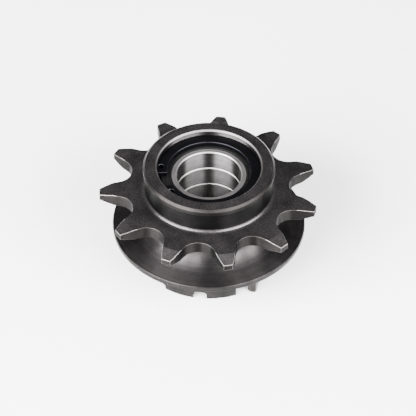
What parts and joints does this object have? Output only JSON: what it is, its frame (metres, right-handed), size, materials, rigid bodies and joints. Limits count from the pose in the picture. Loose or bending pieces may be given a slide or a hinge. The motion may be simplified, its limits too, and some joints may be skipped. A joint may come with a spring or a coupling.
{
  "type": "bicycle cog driver",
  "caption": "Single-speed bicycle cog turned in one piece with its bearing collar, dust flange and pawl carrier, with sealed bearings, retaining ring and sprung pawls.",
  "frame": {"origin": "on the bore axis, at the mid-plane of the cog's teeth (the chain line)", "axes": "+Z along the bore axis to the outboard side, where the collar is; the picture looks along +Y from above"},
  "size_m": [0.0502, 0.0505, 0.0264],
  "materials": {
    "phosphated_steel": "turned and black phosphated",
    "blackened_spring_steel": "blackened, oiled",
    "bearing_steel": "ground",
    "ball_steel": "polished",
    "cage_steel": "pressed",
    "seal_rubber": "moulded nitrile rubber",
    "pawl_steel": "ground",
    "spring_steel": "rolled strip"
  },
  "bodies": {
    "driver": {"driver_body": "phosphated_steel", "retaining_ring": "blackened_spring_steel", "outboard_outer_race": "bearing_steel", "outboard_upper_seal": "seal_rubber", "outboard_lower_seal": "seal_rubber", "middle_outer_race": "bearing_steel", "middle_upper_seal": "seal_rubber", "middle_lower_seal": "seal_rubber", "inboard_outer_race": "bearing_steel", "inboard_upper_seal": "seal_rubber", "inboard_lower_seal": "seal_rubber", "pawl_spring_1": "spring_steel", "pawl_spring_2": "spring_steel", "pawl_spring_3": "spring_steel"},
    "outboard_inner": {"outboard_inner_race": "bearing_steel"},
    "outboard_ball_cage": {"outboard_cage": "cage_steel", "outboard_balls": "ball_steel"},
    "middle_inner": {"middle_inner_race": "bearing_steel", "bearing_spacer": "bearing_steel"},
    "middle_ball_cage": {"middle_cage": "cage_steel", "middle_balls": "ball_steel"},
    "inboard_inner": {"inboard_inner_race": "bearing_steel"},
    "inboard_ball_cage": {"inboard_cage": "cage_steel", "inboard_balls": "ball_steel"},
    "pawl_1": {"pawl_1": "pawl_steel"},
    "pawl_2": {"pawl_2": "pawl_steel"},
    "pawl_3": {"pawl_3": "pawl_steel"}
  },
  "joints": [
    {"name": "outboard_race_spin", "type": "hinge", "parent": "driver", "child": "outboard_inner", "pos_m": [0, 0, 0.0031], "axis": [0, 0, 1], "continuous": true},
    {"name": "outboard_cage_spin", "type": "hinge", "parent": "driver", "child": "outboard_ball_cage", "pos_m": [0, 0, 0.0031], "axis": [0, 0, 1], "continuous": true},
    {"name": "middle_race_spin", "type": "hinge", "parent": "driver", "child": "middle_inner", "pos_m": [0, 0, -0.0019], "axis": [0, 0, 1], "continuous": true},
    {"name": "middle_cage_spin", "type": "hinge", "parent": "driver", "child": "middle_ball_cage", "pos_m": [0, 0, -0.0019], "axis": [0, 0, 1], "continuous": true},
    {"name": "inboard_race_spin", "type": "hinge", "parent": "driver", "child": "inboard_inner", "pos_m": [0, 0, -0.01455], "axis": [0, 0, 1], "continuous": true},
    {"name": "inboard_cage_spin", "type": "hinge", "parent": "driver", "child": "inboard_ball_cage", "pos_m": [0, 0, -0.01455], "axis": [0, 0, 1], "continuous": true},
    {"name": "pawl_1_pivot", "type": "hinge", "parent": "driver", "child": "pawl_1", "pos_m": [0.0122, -0.00803, -0.01426], "axis": [0, 0, 1], "range_deg": [-17, 0], "stiffness_Nm_per_rad": 0.002, "springref_deg": 28.65, "deforming": ["pawl_spring_1"]},
    {"name": "pawl_2_pivot", "type": "hinge", "parent": "driver", "child": "pawl_2", "pos_m": [0.00085, 0.01457, -0.01426], "axis": [0, 0, 1], "range_deg": [-17, 0], "stiffness_Nm_per_rad": 0.002, "springref_deg": 28.65, "deforming": ["pawl_spring_2"]},
    {"name": "pawl_3_pivot", "type": "hinge", "parent": "driver", "child": "pawl_3", "pos_m": [-0.01305, -0.00655, -0.01426], "axis": [0, 0, 1], "range_deg": [-17, 0], "stiffness_Nm_per_rad": 0.002, "springref_deg": 28.65, "deforming": ["pawl_spring_3"]}
  ],
  "couplings": [
    {"joint": "outboard_cage_spin", "follows": "outboard_race_spin", "ratio": 0.4389},
    {"joint": "middle_cage_spin", "follows": "middle_race_spin", "ratio": 0.4389},
    {"joint": "inboard_cage_spin", "follows": "inboard_race_spin", "ratio": 0.4389}
  ]
}
